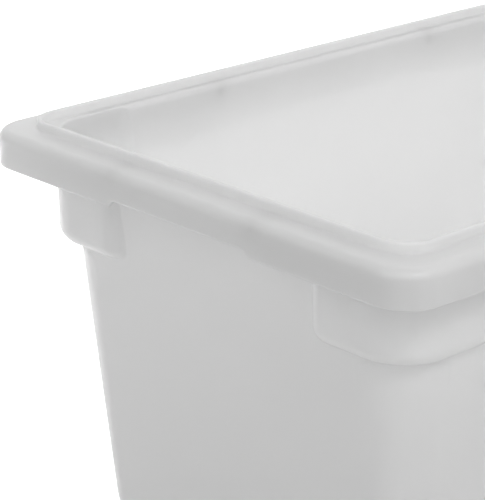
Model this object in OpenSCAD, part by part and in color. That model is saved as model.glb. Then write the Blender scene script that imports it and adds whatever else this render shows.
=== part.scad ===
// Open rectangular food storage tub, moulded in one piece: four drafted walls and a floor,
// a stepped corner boss with a pocket behind it at each corner, and a rim with a raised lip,
// a flat flange and a hanging skirt that is cut away at the hand holds.
// The origin is on the surface that the tub stands on, under its middle. X runs along the
// long sides. Heights on the rim are measured down from the top of the lip.

/* [Overall] */
// Length over the rim
length = 457.2; // [400:0.1:620]
// Width over the rim
width = 304.8; // [270:0.1:420]
// Height from the foot ring to the top of the lip
height = 228.6; // [150:0.1:320]

/* [Walls and floor] */
// Thickness of the walls
wall = 3; // [2:0.1:4.5]
// Thickness of the floor
floor_t = 3.4; // [2.4:0.1:5]
// Slope of the walls from upright, in degrees
draft = 6; // [3:0.1:6.5]
// From the rim's outer face to the wall's outer face, just under the flange
wall_inset = 20.2; // [19.4:0.1:24]
// Corner radius of the walls' outer face at the bottom, where the base edge starts
base_corner_r = 15.55; // [15:0.05:24]
// Width of the rounded edge between the walls and the base
base_edge_w = 14; // [8:0.5:14.5]
// Height of that rounded edge
base_edge_h = 19; // [8:0.5:24]
// Radius where the inner face of a wall turns over onto the flange
mouth_r = 3.6; // [1:0.1:3.6]

/* [Foot ring] */
// How far the base is recessed inside the foot ring
foot_h = 1.6; // [0.8:0.1:3]
// Width of the foot ring
foot_w = 9; // [5:0.5:16]
// Corner radius of the recess
foot_corner_r = 12; // [6:0.5:24]

/* [Rim] */
// Corner radius of the rim's outer face
rim_corner_r = 21; // [16:0.5:30]
// Radius of the rim's top outer edge
rim_edge_r = 5.5; // [3.5:0.1:7]
// Thickness of the flange
flange_t = 3; // [2:0.1:3.4]
// From the top of the lip down to the skirt's lower edge
skirt_drop = 24.3; // [18:0.1:32]
// Thickness of the skirt
skirt_t = 2.8; // [2:0.1:3.4]
// Radius of the skirt's lower edges
skirt_edge_r = 0.8; // [0.3:0.1:0.9]

/* [Lip] */
// Height of the lip above the flange
lip_h = 5.2; // [3.5:0.1:8]
// Thickness of the lip
lip_t = 3; // [2:0.1:3.2]
// From the rim's outer face to the lip's outer face
lip_inset = 15.4; // [12:0.1:15.4]
// Corner radius of the lip's outer face
lip_corner_r = 16.5; // [12:0.5:24]
// Radius of the lip's top edges
lip_edge_r = 1.2; // [0.3:0.1:1.2]
// Radius at the foot of the lip
lip_foot_r = 1.2; // [0.4:0.1:1.2]

/* [Hand holds] */
// Width of the hand hold in a short side, along the skirt's lower edge
short_grip_w = 102; // [70:1:120]
// Width of the hand hold in a long side, along the skirt's lower edge
long_grip_w = 166; // [90:1:220]
// How much shorter the skirt is at a hand hold
grip_rise = 3.5; // [2:0.1:6]
// Run of the slope at each end of a hand hold
grip_end = 4; // [1:0.5:10]
// Radius of the slope's two corners
grip_edge_r = 1.5; // [0.5:0.1:1.5]
// Thickness of the gussets at the ends of a hand hold
gusset_t = 3; // [2:0.1:5]
// Height of the gussets
gusset_h = 5.5; // [3:0.5:8]

/* [Corner bosses] */
// From the rim's outer face to a boss's outer face, just under the flange
boss_inset = 18; // [17:0.1:18.4]
// Corner radius of a boss's outer face
boss_corner_r = 30; // [24:0.5:34]
// Slope of a boss's outer face from upright, in degrees
boss_draft = 0.8; // [0.5:0.1:1.5]
// From the top of the lip down to the underside of a boss
boss_drop = 65; // [48:0.5:80]
// Radius of a boss's lower edge
boss_edge_r = 9; // [5:0.5:12]
// From the rim's outer corner, along a side, to where a boss's face ends and its round end starts
boss_reach = 72.5; // [62:0.5:84]
// Radius that is left of a boss's round end at its underside, inside the lower edge
boss_end_low_r = 4.3; // [0.5:0.1:6]

/* [Hidden] */
$fn = 96;
// Cuts run past the surfaces that they open by this much
overrun = 1;
// What is joined to the wall reaches this share of the wall's thickness into it
bite_share = 0.4;
// Turn of each straight piece of a round edge, in degrees
arc_turn = 11.25;
// Places that are worked out from slopes are rounded to this
size_step = 0.01;

flange_top = height - lip_h;
flange_under = flange_top - flange_t;
skirt_low = height - skirt_drop;
floor_top = foot_h + floor_t;
// Where the base edge's oval meets the slope of the wall, as an angle on the oval
base_edge_turn = atan(tan(draft) * base_edge_h / base_edge_w);
// How far the wall's outer face slopes in from the flange down to the base edge
wall_run_in = (flange_under - base_edge_h * (1 - sin(base_edge_turn))) * tan(draft);
// Corner radius of the walls' outer face just under the flange. It shrinks by the wall's slope
// all the way down, so that the corner is part of a cone.
wall_corner_r = snapped(base_corner_r + wall_run_in);
// Thickness of a wall measured level, across its slope
wall_level = wall / cos(draft);
boss_wall_level = snapped(wall / cos(boss_draft));
// How far a boss's outer face slopes in from the flange down to its lower edge
boss_run_in = (boss_drop - lip_h - flange_t - boss_edge_r * (1 - sin(boss_draft))) * tan(boss_draft);
// Radius of a boss's round ends just under the flange
boss_end_r = snapped(boss_end_low_r + boss_edge_r * cos(boss_draft) + boss_run_in);

// Points of an arc about a centre, from one angle to another. It is an oval's where the two
// radii differ.
function arc(centre, radii, from, to) =
    let (steps = ceil(abs(to - from) / arc_turn))
    [
        for (i = [0:steps])
            let (angle = from + (to - from) * i / steps)
            centre + [radii.x * cos(angle), radii.y * sin(angle)]
    ];

// The two radii of a round edge
function even(r) = [r, r];

// A size to the nearest step, so that the pieces that meet at it meet exactly
function snapped(size) = round(size / size_step) * size_step;

// The points of a section, each to the nearest step
function on_grid(points) = [for (point = points) [snapped(point.x), snapped(point.y)]];

// Upright sections are drawn from the axis of a rounded corner, so that x is the radius.
// This one is of a sloping block whose lower edge is a quarter of an oval, edge.x wide and
// edge.y high. Its outer face is at the radius r at the height z_ref, and further in below.
function block_section(r, slope, z_ref, z_low, z_high, edge) =
    let (
        turn = atan(tan(slope) * edge.y / edge.x),
        z_turn = z_low + edge.y * (1 - sin(turn)),
        x_turn = r + (z_turn - z_ref) * tan(slope)
    )
    on_grid(concat(
        [[0, z_low]],
        arc([x_turn - edge.x * cos(turn), z_low + edge.y], edge, -90, -turn),
        [[r + (z_high - z_ref) * tan(slope), z_high], [0, z_high]]
    ));

// The same section for a hollow whose face turns over onto the flange at its mouth
function hollow_section(r, slope, z_ref, z_low, edge, turn_r) =
    let (
        low = block_section(r, slope, z_ref, z_low, z_ref, edge),
        z_turn = flange_top - turn_r * (1 + sin(slope)),
        x_turn = r + (z_turn - z_ref) * tan(slope),
        centre = [x_turn + turn_r * cos(slope), flange_top - turn_r]
    )
    on_grid(concat(
        [for (i = [0:len(low) - 3]) low[i]],
        arc(centre, even(turn_r), 180 - slope, 90),
        [[centre.x, height + overrun], [0, height + overrun]]
    ));

// One straight run of a section, drawn from a line that is `reach` from the middle
module leg(reach, run) {
    translate([reach, run / 2, 0]) rotate([90, 0, 0]) linear_extrude(run) children();
}

// Carries a section round a rectangle with rounded corners whose axes are `inset` inside the
// rim's outer face
module around(inset) {
    half_x = length / 2 - inset;
    half_y = width / 2 - inset;
    for (turn = [0, 180]) {
        rotate(turn) leg(half_x, 2 * half_y) children();
        rotate(turn + 90) leg(half_y, 2 * half_x) children();
        rotate(turn) translate([half_x, half_y, 0]) rotate_extrude(angle = 90) children();
        rotate(turn) translate([-half_x, half_y, 0]) rotate(90) rotate_extrude(angle = 90) children();
    }
}

// A solid block: its section carried round, and the core that fills its middle
module block(inset, section) {
    z_low = section[0].y;
    around(inset) polygon(section);
    translate([0, 0, z_low])
        linear_extrude(section[len(section) - 1].y - z_low)
            square([length - 2 * inset, width - 2 * inset], center = true);
}

// Puts its children, modelled for one corner with the rim's corner at 0, at all four corners
module at_corners() {
    for (flip_x = [0, 1], flip_y = [0, 1])
        mirror([flip_x, 0, 0]) mirror([0, flip_y, 0])
            translate([-length / 2, -width / 2, 0]) children();
}

// A section carried round one corner, whose axis is `axis` in from both sides, and along the
// sides as far as `reach`. There the end section is carried round an axis of its own, `end_axis`
// in from the side, and on inwards, so that the block ends in a quarter of a round post.
module corner_block(axis, end_axis, reach, section, end_section) {
    translate([axis, axis, 0]) {
        rotate(180) rotate_extrude(angle = 90) polygon(section);
        rotate([90, 0, 180]) linear_extrude(reach - axis) polygon(section);
        rotate([90, 0, 90]) linear_extrude(reach - axis) mirror([1, 0]) polygon(section);
    }
    translate([end_axis, reach, 0]) {
        rotate(90) rotate_extrude(angle = 90) polygon(end_section);
        rotate([90, 0, 90]) linear_extrude(axis - end_axis) polygon(end_section);
    }
    translate([reach, end_axis, 0]) {
        rotate(-90) rotate_extrude(angle = 90) polygon(end_section);
        rotate([90, 0, 180]) linear_extrude(axis - end_axis) mirror([1, 0]) polygon(end_section);
    }
}

// The rim before its lip: a flange with a skirt hanging from its edge
module rim() {
    difference() {
        block(rim_corner_r, concat(
            [[0, skirt_low]],
            arc([rim_corner_r - skirt_edge_r, skirt_low + skirt_edge_r], even(skirt_edge_r), -90, 0),
            arc([rim_corner_r - rim_edge_r, flange_top - rim_edge_r], even(rim_edge_r), 0, 90),
            [[0, flange_top]]
        ));
        rim_hollow();
    }
}

// The space inside the skirt, under the flange
module rim_hollow() {
    r = rim_corner_r - skirt_t;
    bend_r = rim_edge_r - skirt_t;
    block(rim_corner_r, concat(
        [[0, skirt_low - overrun], [r, skirt_low - overrun]],
        arc([r - bend_r, flange_under - bend_r], even(bend_r), 0, 90),
        [[0, flange_under]]
    ));
}

// The raised lip, rounded on top and filleted into the flange on both sides
module lip() {
    seat = flange_top - flange_t * bite_share;
    r = lip_corner_r;
    inner_r = lip_corner_r - lip_t;
    around(lip_inset + r) polygon(concat(
        [[inner_r - lip_foot_r, seat], [r + lip_foot_r, seat]],
        arc([r + lip_foot_r, flange_top + lip_foot_r], even(lip_foot_r), -90, -180),
        arc([r - lip_edge_r, height - lip_edge_r], even(lip_edge_r), 0, 90),
        arc([inner_r + lip_edge_r, height - lip_edge_r], even(lip_edge_r), 90, 180),
        arc([inner_r - lip_foot_r, flange_top + lip_foot_r], even(lip_foot_r), 0, -90)
    ));
}

// The outside of the walls and the base
module wall_block() {
    block(wall_inset + wall_corner_r, block_section(
        wall_corner_r, draft, flange_under, 0, flange_top - flange_t * bite_share,
        [base_edge_w, base_edge_h]
    ));
}

// The inside of the walls, down to the floor
module cavity() {
    r = wall_corner_r - wall_level;
    block(wall_inset + wall_corner_r, hollow_section(
        r, draft, flange_under, floor_top,
        [base_edge_w - wall, base_edge_h - floor_t], mouth_r
    ));
}

// The section of a boss, for a corner or an end of the radius r
function boss_section(r) = block_section(
    r, boss_draft, flange_under, height - boss_drop, flange_top - flange_t * bite_share,
    even(boss_edge_r)
);

// The section of its pocket, one wall further in
function pocket_section(r) = hollow_section(
    r - boss_wall_level, boss_draft, flange_under, height - boss_drop + wall,
    even(boss_edge_r - wall), lip_foot_r
);

// The boss that stands out at a corner, and its pocket inside
module boss() {
    corner_block(
        boss_inset + boss_corner_r, boss_inset + boss_end_r, boss_reach,
        boss_section(boss_corner_r), boss_section(boss_end_r)
    );
}

module pocket() {
    corner_block(
        boss_inset + boss_corner_r, boss_inset + boss_end_r, boss_reach,
        pocket_section(boss_corner_r), pocket_section(boss_end_r)
    );
}

// Puts its children at the middle of each side, facing out along X, for a grip of that side
module at_sides() {
    for (turn = [0, 180]) {
        rotate(turn) translate([length / 2, 0, 0]) {
            $grip_w = short_grip_w;
            children();
        }
        rotate(turn + 90) translate([width / 2, 0, 0]) {
            $grip_w = long_grip_w;
            children();
        }
    }
}

// The outline of one end of a hand hold, from the skirt's lower edge up: a slope, with a round
// corner at its foot and at its head
function grip_end_outline(half) =
    let (
        slope = atan(grip_rise / grip_end),
        tangent = grip_edge_r * tan(slope / 2)
    )
    concat(
        [[half + tangent, -overrun]],
        arc([half + tangent, grip_edge_r], even(grip_edge_r), -90, -90 - slope),
        arc([half - grip_end - tangent, grip_rise - grip_edge_r], even(grip_edge_r), 90 - slope, 90)
    );

// The cut that shortens the skirt at a hand hold
module grip_cut() {
    outline = grip_end_outline($grip_w / 2);
    translate([overrun, 0, skirt_low]) rotate([90, 0, -90])
        linear_extrude(skirt_t + 2 * overrun) polygon(concat(
            outline,
            [for (i = [len(outline) - 1:-1:0]) [-outline[i].x, outline[i].y]]
        ));
}

// A gusset between the skirt and the wall at each end of a hand hold
module gussets() {
    inner = wall_inset + gusset_h * tan(draft) + wall * bite_share;
    outer = skirt_t * (1 - bite_share);
    for (side = [-1, 1])
        translate([-inner, (side * $grip_w - gusset_t) / 2, flange_under - gusset_h])
            cube([inner - outer, gusset_t, gusset_h + flange_t * bite_share]);
}

// The recess in the base inside the foot ring
module foot_recess() {
    inset = snapped(wall_inset + wall_run_in + base_edge_w * cos(base_edge_turn) + foot_w);
    block(inset + foot_corner_r, [
        [0, -overrun], [foot_corner_r, -overrun], [foot_corner_r, foot_h], [0, foot_h]
    ]);
}

module tub() {
    color("whitesmoke") difference() {
        union() {
            rim();
            lip();
            wall_block();
            at_corners() boss();
            at_sides() gussets();
        }
        cavity();
        at_corners() pocket();
        at_sides() grip_cut();
        foot_recess();
    }
}

tub();
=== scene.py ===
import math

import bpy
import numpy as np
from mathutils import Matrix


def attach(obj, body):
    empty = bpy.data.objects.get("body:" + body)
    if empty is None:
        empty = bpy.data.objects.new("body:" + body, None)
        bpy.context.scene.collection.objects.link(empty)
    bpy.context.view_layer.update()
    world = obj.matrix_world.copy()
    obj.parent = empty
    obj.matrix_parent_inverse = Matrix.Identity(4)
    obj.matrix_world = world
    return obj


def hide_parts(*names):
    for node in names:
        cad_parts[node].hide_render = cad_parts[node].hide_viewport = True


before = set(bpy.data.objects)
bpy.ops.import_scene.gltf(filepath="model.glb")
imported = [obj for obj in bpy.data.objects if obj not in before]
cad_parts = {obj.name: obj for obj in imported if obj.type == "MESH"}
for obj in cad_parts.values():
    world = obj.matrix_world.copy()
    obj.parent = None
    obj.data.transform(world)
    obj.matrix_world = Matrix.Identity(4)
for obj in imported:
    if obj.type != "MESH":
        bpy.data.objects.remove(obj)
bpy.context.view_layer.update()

# %% [markdown]
# # An open food storage tub
#
# The real object is one piece of moulded, milky white plastic. Four tapered walls stand on a
# floor, a stepped boss swells out at each corner, and a rim with a raised lip, a flat flange
# and a hanging skirt goes round the top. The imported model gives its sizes, and this scene
# draws the same form again as one smooth surface, lights it softly and gives it its plastic.

MM = 0.001


# %% [markdown]
# ## The photograph's viewpoint
#
# A picture of a box can be read backwards: its straight edges and their vanishing points say
# where the camera stood. The rim's two visible sides gave a camera about 1.3 m away, a little
# above the tub, with a long lens. It comes first, so that every later piece can be judged in
# the right view.

# %% Camera
CAMERA_AT = (-0.8842, -0.7724, 0.5640)
AZIMUTH, ELEVATION, ROLL = -42.13, 20.01, -0.32
FILM_HEIGHT, LENS = 36, 163.4

camera_data = bpy.data.cameras.new("camera")
camera = bpy.data.objects.new("camera", camera_data)
bpy.context.scene.collection.objects.link(camera)
camera.location = CAMERA_AT
camera.rotation_euler = (
    Matrix.Rotation(math.radians(AZIMUTH), 3, "Z")
    @ Matrix.Rotation(math.radians(90 - ELEVATION), 3, "X")
    @ Matrix.Rotation(math.radians(ROLL), 3, "Z")
).to_euler()
camera_data.sensor_fit = "VERTICAL"
camera_data.sensor_height = FILM_HEIGHT
camera_data.lens = LENS
camera_data.clip_end = 50
bpy.context.scene.camera = camera
print("camera:", round(camera.location.length, 2), "m from the middle of the base, lens", LENS, "mm")

# %% [markdown]
# ## Reading the tub as one carried profile
#
# Cut the tub anywhere and the cut shows the same upright line: floor, wall, mouth, lip,
# flange, skirt, wall again and base. So the whole skin can be one grid. Its rows are the
# points of that line, and its columns are stations that go once round the rim. Each row is a
# rounded rectangle, told by two numbers: how far it lies inside the rim's outer face, and how
# far in the axis of its round corners lies.
#
# The stations crowd together where something happens: round the corners, at the round ends of
# the bosses, and at the ends of the hand holds.

# %% Sizes that place the stations, in millimetres
HALF_X, HALF_Y, HEIGHT = 228.6, 152.4, 228.6
CORNER_STEPS = 20
LEAD = 60.0          # past this distance a station keeps its place from row to row
LEAD_SHARES = np.array([0.15, 0.35, 0.6, 0.8])
LEAD_START = 48.0    # the lead starts here on rows whose corners lie further in than it ends
SHORT_GRIP, LONG_GRIP, GRIP_END = 102.0, 166.0, 4.0
WIDE_STEP, GRIP_STEP = 11.0, 13.0    # between stations where nothing happens
print("rim:", 2 * HALF_X, "by", 2 * HALF_Y, "mm; hand holds:", SHORT_GRIP, "and", LONG_GRIP, "mm")


# %% Stations along half a side
def side_places(half, grip):
    """Distances from the rim's corner along half a side. They lie close together at the boss's
    round end and at the hand hold's end, and far apart between the two and inside the hold."""
    boss_end = np.array([
        60, 64, 68, 71, 72.5, 74, 75.2, 76.3, 77.2, 77.9, 78.5, 79.1, 79.7, 80.3, 80.9, 81.5, 82.1,
        82.7, 83.2, 83.7, 84.2, 84.8, 85.6, 87, 90, 95,
    ])
    grip_edge = half - grip / 2
    hold = grip_edge + np.array([-3, -1, -0.3, 0.5, 1.2, 2, 2.8, 3.5, 4.3, 5, 7])
    between = np.arange(boss_end[-1] + 9, hold[0] - 3, WIDE_STEP)
    inside = np.linspace(grip_edge + 12, half, max(4, int((half - grip_edge) / GRIP_STEP)))
    return np.concatenate([boss_end, between, hold, inside])


print("stations on half a short side:", len(side_places(HALF_Y, SHORT_GRIP)))


# %% One quarter of the rim, then all four
def quadrant():
    """Columns of one quarter, from the middle of a short side round the corner to the middle of a
    long side. Each has its corner angle, its share of the lead, its distance past the lead, and
    the side that it is on: 1 is a short side, 2 a long side and 0 the corner between them."""
    short = side_places(HALF_Y, SHORT_GRIP)[::-1]
    long = side_places(HALF_X, LONG_GRIP)
    turn = np.linspace(0, math.pi / 2, CORNER_STEPS + 1)
    n = len(LEAD_SHARES)
    angle = np.concatenate([np.zeros(len(short) + n), turn, np.full(n + len(long), math.pi / 2)])
    lead = np.concatenate([
        np.ones(len(short)), LEAD_SHARES[::-1], 0 * turn, LEAD_SHARES, np.ones(len(long)),
    ])
    past = np.concatenate([short - LEAD, np.zeros(n), 0 * turn, np.zeros(n), long - LEAD])
    side = np.concatenate([np.ones(len(short) + n), 0 * turn, np.full(n + len(long), 2)])
    return np.stack([angle, lead, past, side])


one = quadrant()
forward, backward = one[:, :-1], one[:, :0:-1]
quarters = [(forward, 1, 1), (backward, -1, 1), (forward, -1, -1), (backward, 1, -1)]
columns = np.concatenate([part for part, _, _ in quarters], axis=1)
sign_x = np.concatenate([np.full(part.shape[1], sx) for part, sx, _ in quarters])
sign_y = np.concatenate([np.full(part.shape[1], sy) for part, _, sy in quarters])
angle, lead, past, side = columns
on_short, on_long = side == 1, side == 2
half_run = np.where(on_short, HALF_Y, HALF_X)
along = np.where(side == 0, 0, LEAD + past)
print("stations round the rim:", columns.shape[1])

# %% [markdown]
# ## From two numbers to a row of points
#
# A point is kept as two distances, `p` in from the short side's plane and `q` in from the
# long side's plane, both measured from its own corner of the rim. On a corner they follow a
# circle about the axis. On a side one of them is the inset, and the other runs along.

# %% Rows of points
def plan(inset, axis):
    """Rounded rectangle, as distances from the rim's two faces: the axis minus the radius times the
    cosine and sine of the corner angle, plus the run along the side. The run is the share of the
    lead plus the distance past it. On a row whose corners lie further in than the lead, both
    shrink together to the length of side that is left."""
    inset, axis = np.broadcast_arrays(np.asarray(inset, float), np.asarray(axis, float))
    radius = axis - inset
    run = np.where(
        axis <= LEAD,
        (LEAD - axis) * lead + past,
        ((LEAD - LEAD_START) * lead + past) * (half_run - axis) / (half_run - LEAD_START),
    )
    p = axis - radius * np.cos(angle) + run * on_long
    q = axis - radius * np.sin(angle) + run * on_short
    return p, q


def column(values):
    """A list as an upright array, one value for each row."""
    return np.asarray(values, float).reshape(-1, 1)


def ring_rows(inset, axis, z):
    """Plain rows at their heights, each with its own inset and axis."""
    p, q = plan(column(inset), column(np.broadcast_to(axis, np.shape(inset))))
    return p, q, np.broadcast_to(column(z), p.shape)


RIM_AXIS = 21.0
outline_p, outline_q, _ = ring_rows([0.0], RIM_AXIS, [HEIGHT])
reaches = round(HALF_X - outline_p.min(), 1), round(HALF_Y - outline_q.min(), 1)
print("rim outline reaches", reaches, "mm from the middle")

# %% [markdown]
# ## Walls with bosses
#
# At each corner a boss swells out of the wall. It keeps almost upright while the wall leans
# in. Along each side it ends in a quarter of a round post, and its lower edge is a large round.
# Inside, the plastic follows at an even thickness, so the boss is also a pocket.
#
# The outline is therefore the outermost of two: the wall's and the boss's. Each row starts on
# the boss's outline and is pushed out to the wall's wherever the wall lies further out, with
# a soft meeting line, as in a moulded corner. The same function makes the inside, with the
# inside's own sizes.

# %% Sizes of the walls and the bosses
WALL_LEAN, BOSS_LEAN = 6.0, 0.8      # degrees from upright
DRAFT = math.tan(math.radians(WALL_LEAN))
BOSS_DRAFT = math.tan(math.radians(BOSS_LEAN))
LIP_H, FLANGE_T, WALL = 5.2, 3.0, 3.0
TOP = HEIGHT - LIP_H                 # upper face of the flange
UNDER = TOP - FLANGE_T               # its underside
WALL_IN, BOSS_IN = 20.2, 18.0        # insets of the wall and of the boss under the flange
BOSS_LOW, BOSS_R = HEIGHT - 65.0, 9.0
WALL_AXIS, BOSS_AXIS = 57.2, 48.0
REACH, END_AXIS = 72.5, 31.97        # where a boss's face ends, and how far in its post's axis is
DEEP = 56.0                          # inset past the post, where the wall is the outermost
SOFT = 0.25                          # how far the meeting line of boss and wall is rounded
OUTSIDE = dict(wall=WALL_IN, boss=BOSS_IN, low=BOSS_LOW, round=BOSS_R)
INSIDE = dict(
    wall=WALL_IN + WALL / math.cos(math.radians(WALL_LEAN)),
    boss=BOSS_IN + WALL,
    low=BOSS_LOW + WALL,
    round=BOSS_R - WALL,
)


def leaning(at_top, z, draft):
    """Inset of a leaning face: its inset under the flange plus the drop times its draft."""
    return at_top + (UNDER - z) * draft


half_way = (BOSS_LOW + UNDER) / 2
stands = leaning(WALL_IN, half_way, DRAFT) - leaning(BOSS_IN, half_way, BOSS_DRAFT)
print("boss stands", round(stands, 1), "mm out of the wall at half its height")


# %% The outermost of two outlines
def pushed_out(p, q, inset, axis, soft):
    """Pushes points that lie inside a rounded rectangle out onto it. The signed distance d becomes
    half of the sum of d and the root of d squared plus soft squared, which rounds the meeting
    line."""
    dx, dy = axis - p, axis - q
    ox, oy = np.maximum(dx, 0), np.maximum(dy, 0)
    reach = np.maximum(np.hypot(ox, oy), 1e-9)
    d = reach - (axis - inset)
    move = 0.5 * (d + np.sqrt(d * d + soft * soft)) - d
    return p - move * ox / reach, q - move * oy / reach


def boss_rows(face, z, extra, wall_inset=None, boss_inset=None):
    """Rows of the outermost of boss and wall. Past its reach the boss's face bends round its end
    post: the inset is the post's axis minus the root of its radius squared minus the distance past
    the reach squared. The result is pushed out to the wall."""
    boss = (leaning(face["boss"], z, BOSS_DRAFT) if boss_inset is None else boss_inset) + extra
    wall = leaning(face["wall"], z, DRAFT) if wall_inset is None else wall_inset
    beyond = np.maximum(along - REACH, 0)
    radius = np.maximum(END_AXIS - boss, 0)
    bent = np.maximum(END_AXIS - np.sqrt(np.maximum(radius ** 2 - beyond ** 2, 0)), boss)
    inset = np.where((beyond > 0) & (beyond >= radius), DEEP, bent)
    p, q = plan(inset, np.full_like(inset, BOSS_AXIS))
    return pushed_out(p, q, wall, WALL_AXIS, SOFT)


top_p, _ = boss_rows(OUTSIDE, UNDER, 0.0)
print("under the flange the outline lies", round(top_p.min(), 1), "to",
      round(top_p[on_short].max(), 1), "mm inside the rim's short side")

# %% From the flange down past a boss
NEAR = 0.6       # closer to the wall than this, a row of the underside has been swallowed
SINK = 0.35      # how far down the wall each swallowed row goes below the one before


def wall_distance(face, p, q, z):
    """How far points stand out of the wall's outline at their height."""
    wall = leaning(face["wall"], z, DRAFT)
    ox, oy = np.maximum(WALL_AXIS - p, 0), np.maximum(WALL_AXIS - q, 0)
    return np.hypot(ox, oy) - (WALL_AXIS - wall)


def boss_band(face, top_rows):
    """Rows from the flange down past a boss: its face, its round lower edge, its underside, and
    the first rows of the wall below."""
    lean = math.atan(BOSS_DRAFT)
    turn_z = face["low"] + face["round"] * (1 - math.sin(lean))
    z_face = np.concatenate([top_rows, np.linspace(top_rows[-1] - 6, turn_z, 6)])
    bend = np.linspace(lean, math.pi / 2, 11)[1:]
    z_bend = face["low"] + face["round"] * (1 - np.sin(bend))
    extra_bend = face["round"] * (math.cos(lean) - np.cos(bend)) + (z_bend - turn_z) * BOSS_DRAFT
    under = np.array([0.8, 1.8, 3.0, 4.5, 7.0])
    z = np.concatenate([z_face, z_bend, np.full(len(under), face["low"])])
    extra = np.concatenate([0 * z_face, extra_bend, extra_bend[-1] + under])
    p, q = boss_rows(face, column(z), column(extra))
    # the underside's rows that the wall has swallowed go on down the wall, a little at a time
    clear = np.clip((wall_distance(face, p, q, column(z)) - NEAR) / NEAR, 0, 1)
    step = np.concatenate([0 * z_face, 0 * z_bend, np.arange(1, len(under) + 1) * SINK])
    height = column(z) - column(step) * (1 - clear)
    p, q = boss_rows(face, height, column(extra))
    return p, q, height


down = boss_band(OUTSIDE, np.array([UNDER - 4.0]))
print("outside boss band:", len(down[0]), "rows, the last one up to",
      round(BOSS_LOW - down[2].min(), 2), "mm below the boss's underside")


# %% Plain wall below the bosses
def wall_rows(face, z):
    """Rows of the plain wall, at their heights."""
    p, q = plan(leaning(face["wall"], column(z), DRAFT), np.full((len(z), 1), WALL_AXIS))
    return p, q, np.broadcast_to(column(z), p.shape)


foot_inset = leaning(WALL_IN, 0.0, DRAFT)
print("at the table the wall would be", round(foot_inset, 1), "mm inside the rim")

# %% [markdown]
# ## Rim
#
# From the wall's mouth the line goes up into the raised lip that a lid fits round, down to the
# flat flange, over its round outer edge and down the skirt. At the hand holds the skirt is a
# little shorter, so its lower rows rise there.

# %% Sizes of the rim, and arcs in its section
LIP_OUT, LIP_T, LIP_AXIS = 15.4, 3.0, 31.9
LIP_R, FOOT_R = 1.3, 1.2
RIM_R, SKIRT_T, SKIRT_R = 5.5, 2.8, 0.9
SKIRT_LOW, GRIP_RISE = HEIGHT - 24.3, 3.5


def bend_points(centre, radius, start, stop, count):
    """Points of an arc in the upright section, as inset and height: the centre plus the radius
    times cosine and sine."""
    a = np.radians(np.linspace(start, stop, count))
    return np.stack([centre[0] + radius * np.cos(a), centre[1] + radius * np.sin(a)], axis=1)


print("lip", LIP_H, "mm high and", LIP_T, "mm thick; skirt down to", round(SKIRT_LOW, 1), "mm")


# %% Lip
def lip_section():
    """The lip from its inner foot to its outer foot, as inset and height."""
    inner, outer = LIP_OUT + LIP_T, LIP_OUT
    return np.concatenate([
        bend_points((inner + FOOT_R, TOP + FOOT_R), FOOT_R, 270, 180, 5),
        bend_points((inner - LIP_R, HEIGHT - LIP_R), LIP_R, 0, 90, 6),
        bend_points((outer + LIP_R, HEIGHT - LIP_R), LIP_R, 90, 180, 6),
        bend_points((outer - FOOT_R, TOP + FOOT_R), FOOT_R, 0, -90, 5),
    ])


lip = lip_section()
lip_rows = ring_rows(lip[:, 0], LIP_AXIS, lip[:, 1])
print("lip rows:", len(lip))


# %% Skirt with its hand holds
def hand_hold():
    """Share of the full rise of the skirt's lower edge at each station: 0 beside a hand hold, 1 in
    it, and three times the square minus twice the cube of the way in between, a smooth step."""
    grip = np.where(on_short, SHORT_GRIP, LONG_GRIP) / 2
    inside = np.clip((grip - (half_run - along)) / GRIP_END, 0, 1)
    step = inside * inside * (3 - 2 * inside)
    return np.where(side > 0, step, 0.0)


def skirt_section():
    """Flange edge, skirt and its lower edge, as inset, height, and the share of the hand hold's
    rise that the row takes."""
    edge = bend_points((RIM_R, TOP - RIM_R), RIM_R, 90, 180, 10)
    face_z = np.linspace(TOP - RIM_R, SKIRT_LOW + SKIRT_R, 6)[1:]
    low_out = bend_points((SKIRT_R, SKIRT_LOW + SKIRT_R), SKIRT_R, 180, 270, 5)[1:]
    low_in = bend_points((SKIRT_T - SKIRT_R, SKIRT_LOW + SKIRT_R), SKIRT_R, 270, 360, 5)
    bend = RIM_R - SKIRT_T
    back_z = np.linspace(SKIRT_LOW + SKIRT_R, UNDER - bend, 5)[1:]
    corner = bend_points((SKIRT_T + bend, UNDER - bend), bend, 180, 90, 6)[1:]
    inset = np.concatenate([
        edge[:, 0], 0 * face_z, low_out[:, 0], low_in[:, 0], 0 * back_z + SKIRT_T, corner[:, 0],
    ])
    z = np.concatenate([edge[:, 1], face_z, low_out[:, 1], low_in[:, 1], back_z, corner[:, 1]])
    share = np.concatenate([
        np.zeros(len(edge)), np.linspace(0, 1, 6)[1:], np.ones(len(low_out) + len(low_in)),
        np.linspace(1, 0, 5)[1:], np.zeros(len(corner)),
    ])
    return inset, z, share


skirt_inset, skirt_z, skirt_share = skirt_section()
skirt_p, skirt_q, skirt_h = ring_rows(skirt_inset, RIM_AXIS, skirt_z)
skirt_rows = (skirt_p, skirt_q, skirt_h + column(skirt_share) * hand_hold() * GRIP_RISE)
print("skirt rows:", len(skirt_inset), "raised by", GRIP_RISE, "mm at the hand holds")

# %% [markdown]
# ## Inside, outside and base
#
# The inside turns over onto the flange with a small round, wider on the walls than in the
# pockets. Low down, the walls run into the floor and the base with a round that is taller
# than it is wide. Underneath, the tub stands on a narrow ring round a shallow recess.

# %% The rounds low down and at the mouth
RECESS_H, FLOOR_T = 1.6, 3.4
FLOOR = RECESS_H + FLOOR_T
EDGE_W, EDGE_H = 14.0, 19.0          # the round between wall and base, outside
MOUTH_R, POCKET_MOUTH_R = 3.6, 1.2


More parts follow.
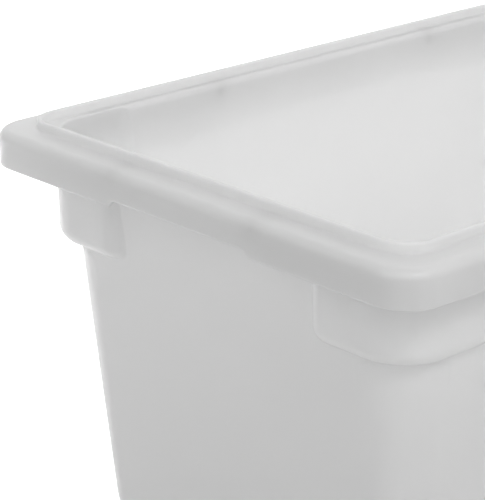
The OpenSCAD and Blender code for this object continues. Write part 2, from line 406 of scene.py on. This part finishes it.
def base_edge(face, low, width, height):
    """Quarter oval from flat to the wall's slope: its inset falls with the cosine and its height
    rises with the sine."""
    lean = math.atan(DRAFT * height / width)
    turn_z = low + height * (1 - math.sin(lean))
    centre = leaning(face["wall"], turn_z, DRAFT) + width * math.cos(lean)
    a = np.linspace(math.pi / 2, lean, 12)
    return centre - width * np.cos(a), low + height * (1 - np.sin(a)), turn_z


def mouth(z, radius, inset):
    """Inset of a face that turns over at the top with a round: it falls by the radius minus the
    circle's height."""
    rise = np.clip(z - (TOP - radius), 0, radius)
    return inset - (radius - np.sqrt(np.maximum(radius ** 2 - rise ** 2, 0)))


floor_inset, floor_z, floor_turn = base_edge(INSIDE, FLOOR, EDGE_W - WALL, EDGE_H - FLOOR_T)
print("the floor at", FLOOR, "mm turns into the wall at", round(floor_turn, 1), "mm")


# %% Inside rows, from the middle of the floor up to the mouth
def upwards(rows):
    """The same rows in the opposite order."""
    return tuple(part[::-1] for part in rows)


FLOOR_INSETS, FLOOR_AXES = [140, 118, 96, 76, 62], [146, 130, 112, 92, 74]

flat = ring_rows(FLOOR_INSETS, FLOOR_AXES, [FLOOR] * len(FLOOR_INSETS))
edge = ring_rows(floor_inset, WALL_AXIS, floor_z)
low_wall = wall_rows(INSIDE, np.linspace(floor_turn, INSIDE["low"] - 4, 8)[1:])
# the rows of the mouth lie closest at the top, where its round is flattest
mouth_z = TOP - np.array([0.0, 0.08, 0.3, 0.65, 1.2, 1.9, 2.7, 3.6, 4.6])
up_rows = boss_band(INSIDE, mouth_z[-1:])
turn_z = mouth_z[:-1]
turn_p, turn_q = boss_rows(
    INSIDE, column(turn_z), 0.0,
    wall_inset=column(mouth(turn_z, MOUTH_R, leaning(INSIDE["wall"], turn_z, DRAFT))),
    boss_inset=column(mouth(turn_z, POCKET_MOUTH_R, leaning(INSIDE["boss"], turn_z, BOSS_DRAFT))),
)
turn_rows = turn_p, turn_q, np.broadcast_to(column(turn_z), turn_p.shape)
inside_rows = [flat, edge, low_wall, upwards(up_rows), upwards(turn_rows)]
print("inside rows:", sum(len(p) for p, _, _ in inside_rows))

# %% Outside rows, from under the flange down to the middle of the base
SEAT_R = 1.2         # small round where the boss meets the flange
RECESS, RECESS_AXIS, RECESS_R = 64.5, 76.5, 0.5      # the recess under the base
BASE_INSETS, BASE_AXES = [80, 100, 120, 140], [90, 108, 126, 144]

under_flange = ring_rows([8.0, 13.0], [26.0, 34.0], [UNDER, UNDER])
seat = np.array([0.0, 0.35, SEAT_R])
seat_p, seat_q = boss_rows(OUTSIDE, column(UNDER - seat), column(-seat[::-1]))
seat_rows = seat_p, seat_q, np.broadcast_to(column(UNDER - seat), seat_p.shape)
base_inset, base_z, base_turn = base_edge(OUTSIDE, 0.0, EDGE_W, EDGE_H)
side_wall = wall_rows(OUTSIDE, np.linspace(BOSS_LOW - 5, base_turn, 9))
under_edge = ring_rows(base_inset[::-1][1:], WALL_AXIS, base_z[::-1][1:])
foot = ring_rows(
    [RECESS - RECESS_R, RECESS, RECESS, RECESS + RECESS_R] + BASE_INSETS,
    [RECESS_AXIS - RECESS_R, RECESS_AXIS, RECESS_AXIS, RECESS_AXIS + RECESS_R] + BASE_AXES,
    [0.0, RECESS_R, RECESS_H - RECESS_R] + [RECESS_H] * (1 + len(BASE_INSETS)),
)
outside_rows = [under_flange, seat_rows, down, side_wall, under_edge, foot]
print("outside rows:", sum(len(p) for p, _, _ in outside_rows), "recess", RECESS_H, "mm deep")

# %% [markdown]
# ## One closed mesh
#
# The rows are stacked from the middle of the floor, over the rim, to the middle of the base.
# Neighbouring rows and columns make four-sided faces, the last column joins the first, and
# each end closes in a fan round one point, so the skin encloses the plastic.

# %% From rows to a closed skin
def to_metres(p, q, z):
    """Places from distances to a rim corner: the half size minus the distance, with the corner's
    signs, in metres."""
    return np.stack([sign_x * (HALF_X - p), sign_y * (HALF_Y - q), z], axis=-1) * MM


def closed_skin(grid):
    """Vertices and faces of a grid that is closed round its columns and ends in a fan at each end."""
    rows, cols = grid.shape[:2]
    first, last = grid[0].mean(axis=0), grid[-1].mean(axis=0)
    vertices = np.concatenate([grid.reshape(-1, 3), [first, last]])
    i, j = np.meshgrid(np.arange(rows - 1), np.arange(cols), indexing="ij")
    k = (j + 1) % cols
    here, there = i * cols, (i + 1) * cols
    quads = np.stack([here + j, there + j, there + k, here + k], axis=-1).reshape(-1, 4)
    c = np.arange(cols)
    n = (c + 1) % cols
    last_row = (rows - 1) * cols
    fans = [
        np.stack([np.full(cols, rows * cols), c, n], axis=-1),
        np.stack([np.full(cols, rows * cols + 1), last_row + n, last_row + c], axis=-1),
    ]
    return vertices, quads, np.concatenate(fans)


sections = inside_rows + [lip_rows, skirt_rows] + outside_rows
grid = np.concatenate([to_metres(p, q, z) for p, q, z in sections])
vertices, quads, fans = closed_skin(grid)
print("tub skin:", grid.shape[:2], "rows and columns,", len(quads) * 2 + len(fans), "triangles")


# %% Tub mesh
def mesh_from(name, vertices, quads, triangles):
    """A smooth shaded object from arrays, through foreach_set."""
    mesh = bpy.data.meshes.new(name)
    loops = np.concatenate([quads.ravel(), triangles.ravel()]).astype(np.int32)
    sizes = np.concatenate([np.full(len(quads), 4), np.full(len(triangles), 3)])
    starts = np.concatenate([[0], np.cumsum(sizes)[:-1]]).astype(np.int32)
    mesh.vertices.add(len(vertices))
    mesh.vertices.foreach_set("co", vertices.astype(np.float32).ravel())
    mesh.loops.add(len(loops))
    mesh.loops.foreach_set("vertex_index", loops)
    mesh.polygons.add(len(sizes))
    mesh.polygons.foreach_set("loop_start", starts)
    mesh.update(calc_edges=True)
    mesh.validate()
    mesh.shade_smooth()
    piece = bpy.data.objects.new(name, mesh)
    bpy.context.scene.collection.objects.link(piece)
    return piece


tub = mesh_from("moulded_tub", vertices, quads, fans)
print("tub:", len(tub.data.vertices), "vertices")

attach(tub, "root")
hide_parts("tub")

# %% [markdown]
# ## Gussets behind the skirt
#
# Where a hand hold ends, a small web stands between the skirt and the wall, so that the skirt
# can't bend when the full tub is lifted. It is a flat bar with a round lower edge: one outline,
# carried from the skirt to the wall, with both of its ends buried in the plastic there.

# %% One gusset
GUSSET_T, GUSSET_H, GUSSET_R = 3.0, 5.5, 1.0
BURIED = 0.4     # share of a face's thickness that a bar goes into it


def bar_outline(thick, low, high, radius):
    """Outline of a bar, as places across and up: a rectangle whose two lower corners are quarter
    circles."""
    half = thick / 2
    left = bend_points((radius - half, low + radius), radius, 180, 270, 6)
    right = bend_points((half - radius, low + radius), radius, 270, 360, 6)
    return np.concatenate([left, right, [[half, high], [-half, high]]])


def gusset(middle, side_turn, half):
    """One bar: its outline carried in eight steps from inside the skirt to inside the wall, and
    turned to its side."""
    outline = bar_outline(GUSSET_T, UNDER - GUSSET_H, UNDER + FLANGE_T * BURIED, GUSSET_R)
    inset = np.linspace(SKIRT_T * (1 - BURIED), WALL_IN + GUSSET_H * DRAFT + WALL * BURIED, 9)
    out = np.broadcast_to((half - inset)[:, None], (len(inset), len(outline)))
    across = np.broadcast_to(middle + outline[:, 0], out.shape)
    c, s = math.cos(side_turn), math.sin(side_turn)
    up = np.broadcast_to(outline[:, 1], out.shape)
    return np.stack([out * c - across * s, out * s + across * c, up], axis=-1) * MM


print("gusset:", GUSSET_T, "mm thick,", GUSSET_H, "mm high")

# %% Eight gussets
bars = [
    gusset(end * grip / 2, turn, half)
    for turn, half, grip in [
        (0, HALF_X, SHORT_GRIP), (math.pi, HALF_X, SHORT_GRIP),
        (math.pi / 2, HALF_Y, LONG_GRIP), (-math.pi / 2, HALF_Y, LONG_GRIP),
    ]
    for end in (-1, 1)
]
bar_parts = [closed_skin(bar) for bar in bars]
starts = np.cumsum([0] + [len(v) for v, _, _ in bar_parts])[:-1]
gussets = mesh_from(
    "gussets",
    np.concatenate([v for v, _, _ in bar_parts]),
    np.concatenate([q + start for (_, q, _), start in zip(bar_parts, starts)]),
    np.concatenate([t + start for (_, _, t), start in zip(bar_parts, starts)]),
)
print("gussets:", len(bars), "bars of", bars[0].shape[0], "by", bars[0].shape[1], "points")

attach(gussets, "root")

# %% [markdown]
# ## Milky plastic
#
# Natural polyethylene isn't a flat white. Light goes some millimetres into it and comes out
# again elsewhere, so a wall that is lit from behind glows, and the rib or skirt behind it
# shows as a soft shade. Subsurface scattering does just that. The surface is satin, with the
# faint uneven sheen and orange-peel texture that a mould leaves. It has two glosses: a dull one
# that spreads over the rounds, and a thinner, sharper coat for the small glints on the edges.

# %% Sizes of the plastic's finish
SCATTER = 0.013                    # metres that light goes into the plastic
DARKEST, PALEST = 0.828, 0.852     # the white is a little cloudy
SLEEKEST, DULLEST = 0.36, 0.48     # roughness
CLOUDS, SHEEN, PEEL = (9, 3), (35, 4), (420, 2)      # scale and detail of the noise patterns
PEEL_STRENGTH, PEEL_DEPTH = 0.05, 0.0003
PLASTIC = {
    "IOR": 1.5,
    "Specular IOR Level": 0.25,
    "Coat Weight": 0.5,
    "Coat Roughness": 0.22,
    "Subsurface Weight": 1.0,
    "Subsurface Radius": (1.0, 1.0, 1.0),
    "Subsurface Scale": SCATTER,
}
print("plastic: light goes about", round(SCATTER / MM), "mm before it is scattered")


# %% Nodes and noise
def node(tree, kind, x, y, **settings):
    """A shader node at a place in the editor, with its settings."""
    made = tree.nodes.new(kind)
    made.location = (x, y)
    for name, value in settings.items():
        setattr(made, name, value)
    return made


def noise(tree, place, y, scale, detail):
    """A noise pattern that reads its place from a socket."""
    texture = node(tree, "ShaderNodeTexNoise", -850, y)
    texture.inputs["Scale"].default_value = scale
    texture.inputs["Detail"].default_value = detail
    tree.links.new(place, texture.inputs["Vector"])
    return texture.outputs["Fac"]


grains = [round(1 / scale / MM, 1) for scale, _ in (CLOUDS, SHEEN, PEEL)]
print("clouds, sheen and peel change about every", grains, "mm")


# %% Plastic material
def milky_plastic():
    """Satin white plastic: a cloudy base colour, scattering below the surface, an uneven sheen and
    a fine bump, all in Object coordinates."""
    material = bpy.data.materials.new("milky_plastic")
    material.use_nodes = True
    tree = material.node_tree
    shader = tree.nodes["Principled BSDF"]
    place = node(tree, "ShaderNodeTexCoord", -1100, 0).outputs["Object"]

    tint = node(tree, "ShaderNodeValToRGB", -600, 250)
    low, high = tint.color_ramp.elements
    low.position, low.color = 0.3, (DARKEST, DARKEST, DARKEST, 1)
    high.position, high.color = 0.7, (PALEST, PALEST, PALEST, 1)
    tree.links.new(noise(tree, place, 250, *CLOUDS), tint.inputs["Fac"])
    tree.links.new(tint.outputs["Color"], shader.inputs["Base Color"])

    rough = node(tree, "ShaderNodeMapRange", -600, -50)
    rough.inputs["To Min"].default_value = SLEEKEST
    rough.inputs["To Max"].default_value = DULLEST
    tree.links.new(noise(tree, place, -50, *SHEEN), rough.inputs["Value"])
    tree.links.new(rough.outputs["Result"], shader.inputs["Roughness"])

    bump = node(tree, "ShaderNodeBump", -600, -350)
    bump.inputs["Strength"].default_value = PEEL_STRENGTH
    bump.inputs["Distance"].default_value = PEEL_DEPTH
    tree.links.new(noise(tree, place, -350, *PEEL), bump.inputs["Height"])
    tree.links.new(bump.outputs["Normal"], shader.inputs["Normal"])

    for name, value in PLASTIC.items():
        shader.inputs[name].default_value = value
    return material


plastic = milky_plastic()
tub.data.materials.append(plastic)
gussets.data.materials.append(plastic)
print("plastic:", len(plastic.node_tree.nodes), "nodes, on the tub and its gussets")

# %% [markdown]
# ## Table, background and light
#
# The photograph is a catalogue picture on white. The table and the world look white to the
# camera, and the table still takes the tub's soft shadow.
#
# Such a picture lights a milky thing from behind too, so that its far walls glow. Three soft
# boxes stand behind the tub and two hang over the table there, which throws their light back
# up through the walls. One stands at the camera's right and one hangs over the tub. Two large
# ones stand on the camera's side, with a narrow strip that makes the fine glints on the rounded
# edges. Only these last three are mirrored in the gloss: a lamp behind the tub would be mirrored
# at a grazing angle in every edge and turn it plain white.

# %% Rays that see the backdrop
def seeing_rays(tree, x):
    """The larger of three Light Path outputs: 1 on camera, glossy and transmission rays, else 0."""
    path = node(tree, "ShaderNodeLightPath", x, 300)
    two = node(tree, "ShaderNodeMath", x + 200, 300, operation="MAXIMUM")
    three = node(tree, "ShaderNodeMath", x + 400, 300, operation="MAXIMUM")
    tree.links.new(path.outputs["Is Camera Ray"], two.inputs[0])
    tree.links.new(path.outputs["Is Glossy Ray"], two.inputs[1])
    tree.links.new(two.outputs[0], three.inputs[0])
    tree.links.new(path.outputs["Is Transmission Ray"], three.inputs[1])
    return three.outputs[0]


TABLE_WHITE, TABLE_GLOW = 0.7, 0.66
print("table: white", TABLE_WHITE, "and for these rays", TABLE_GLOW, "more")

# %% Table
TABLE_HALF = 8.0


def pale_table():
    """White table: a matt surface, with some of its white given to camera, glossy and transmission
    rays alone."""
    material = bpy.data.materials.new("pale_table")
    material.use_nodes = True
    tree = material.node_tree
    shader = tree.nodes["Principled BSDF"]
    shader.inputs["Base Color"].default_value = (TABLE_WHITE, TABLE_WHITE, TABLE_WHITE, 1)
    shader.inputs["Roughness"].default_value = 0.8
    glow = node(tree, "ShaderNodeMath", -120, 300, operation="MULTIPLY")
    glow.inputs[1].default_value = TABLE_GLOW
    tree.links.new(seeing_rays(tree, -700), glow.inputs[0])
    shader.inputs["Emission Color"].default_value = (1, 1, 1, 1)
    tree.links.new(glow.outputs[0], shader.inputs["Emission Strength"])
    return material


table = mesh_from(
    "table",
    TABLE_HALF * np.array([[-1, -1, 0], [1, -1, 0], [1, 1, 0], [-1, 1, 0]], float),
    np.array([[0, 1, 2, 3]]),
    np.zeros((0, 3), int),
)
table.data.materials.append(pale_table())
print("table:", 2 * TABLE_HALF, "m square")

# %% World
AMBIENT = 0.1

world = bpy.data.worlds.new("studio")
bpy.context.scene.world = world
world.use_nodes = True
tree = world.node_tree
background = tree.nodes["Background"]
level = node(tree, "ShaderNodeMapRange", -200, 300)
level.inputs["To Min"].default_value = AMBIENT
level.inputs["To Max"].default_value = 1.0
tree.links.new(seeing_rays(tree, -900), level.inputs["Value"])
tree.links.new(level.outputs["Result"], background.inputs["Strength"])
background.inputs["Color"].default_value = (1, 1, 1, 1)
print("world: level", AMBIENT, "from all round")

# %% A soft box
TUB_MIDDLE = np.array([0, 0, 0.12])


def soft_box(name, place, width, height, power, mirrored=False, hanging=False):
    """A rectangular lamp at a place, turned so that its light goes to the tub, or straight down
    where it hangs over the table. Only a mirrored one is seen in the gloss."""
    lamp = bpy.data.lights.new(name, "AREA")
    lamp.shape = "RECTANGLE"
    lamp.size, lamp.size_y = width, height
    lamp.energy = power
    holder = bpy.data.objects.new(name, lamp)
    bpy.context.scene.collection.objects.link(holder)
    holder.location = place
    if not hanging:
        way = TUB_MIDDLE - place
        way /= np.linalg.norm(way)
        holder.rotation_euler = (math.acos(-way[2]), 0, math.atan2(way[1], way[0]) - math.pi / 2)
    holder.visible_camera = False
    holder.visible_glossy = mirrored
    return holder


def towards(azimuth, elevation, distance):
    """A place in a direction from the tub, given in degrees."""
    a, e = math.radians(azimuth), math.radians(elevation)
    return distance * np.array([math.cos(a) * math.cos(e), math.sin(a) * math.cos(e), math.sin(e)])


print("lamps are turned to", TUB_MIDDLE.tolist())

# %% Ten lamps, each with its name, place, width, height and watts
soft_box("behind_low", towards(60, 5, 2.2), 1.6, 0.4, 4.9)
soft_box("behind_high", towards(60, 50, 2.0), 2.4, 2.0, 2.9)
soft_box("behind_right", towards(30, 30, 2.2), 1.6, 0.8, 9.0)
soft_box("table_far", np.array([0, 1.4, 0.6]), 2.4, 0.8, 19.4, hanging=True)
soft_box("table_near", np.array([0.2, 0.5, 0.22]), 0.9, 0.4, 1.0, hanging=True)
soft_box("right", towards(330, 25, 2.6), 1.6, 0.8, 9.1)
soft_box("over", towards(0, 89.9, 2.0), 1.2, 1.2, 5.4)
soft_box("front", towards(258, 35, 3.0), 2.4, 1.6, 17.4, mirrored=True)
soft_box("side", towards(195, 35, 3.0), 2.4, 1.6, 15.3, mirrored=True)
soft_box("glint", towards(252, 48, 1.8), 0.8, 0.12, 4.1, mirrored=True)

# %% [markdown]
# ## Last settings
#
# The Standard view transform shows each colour as it is written. Blender's own default is made
# for bright scenes and would turn the white plastic grey.

bpy.context.scene.view_settings.view_transform = "Standard"
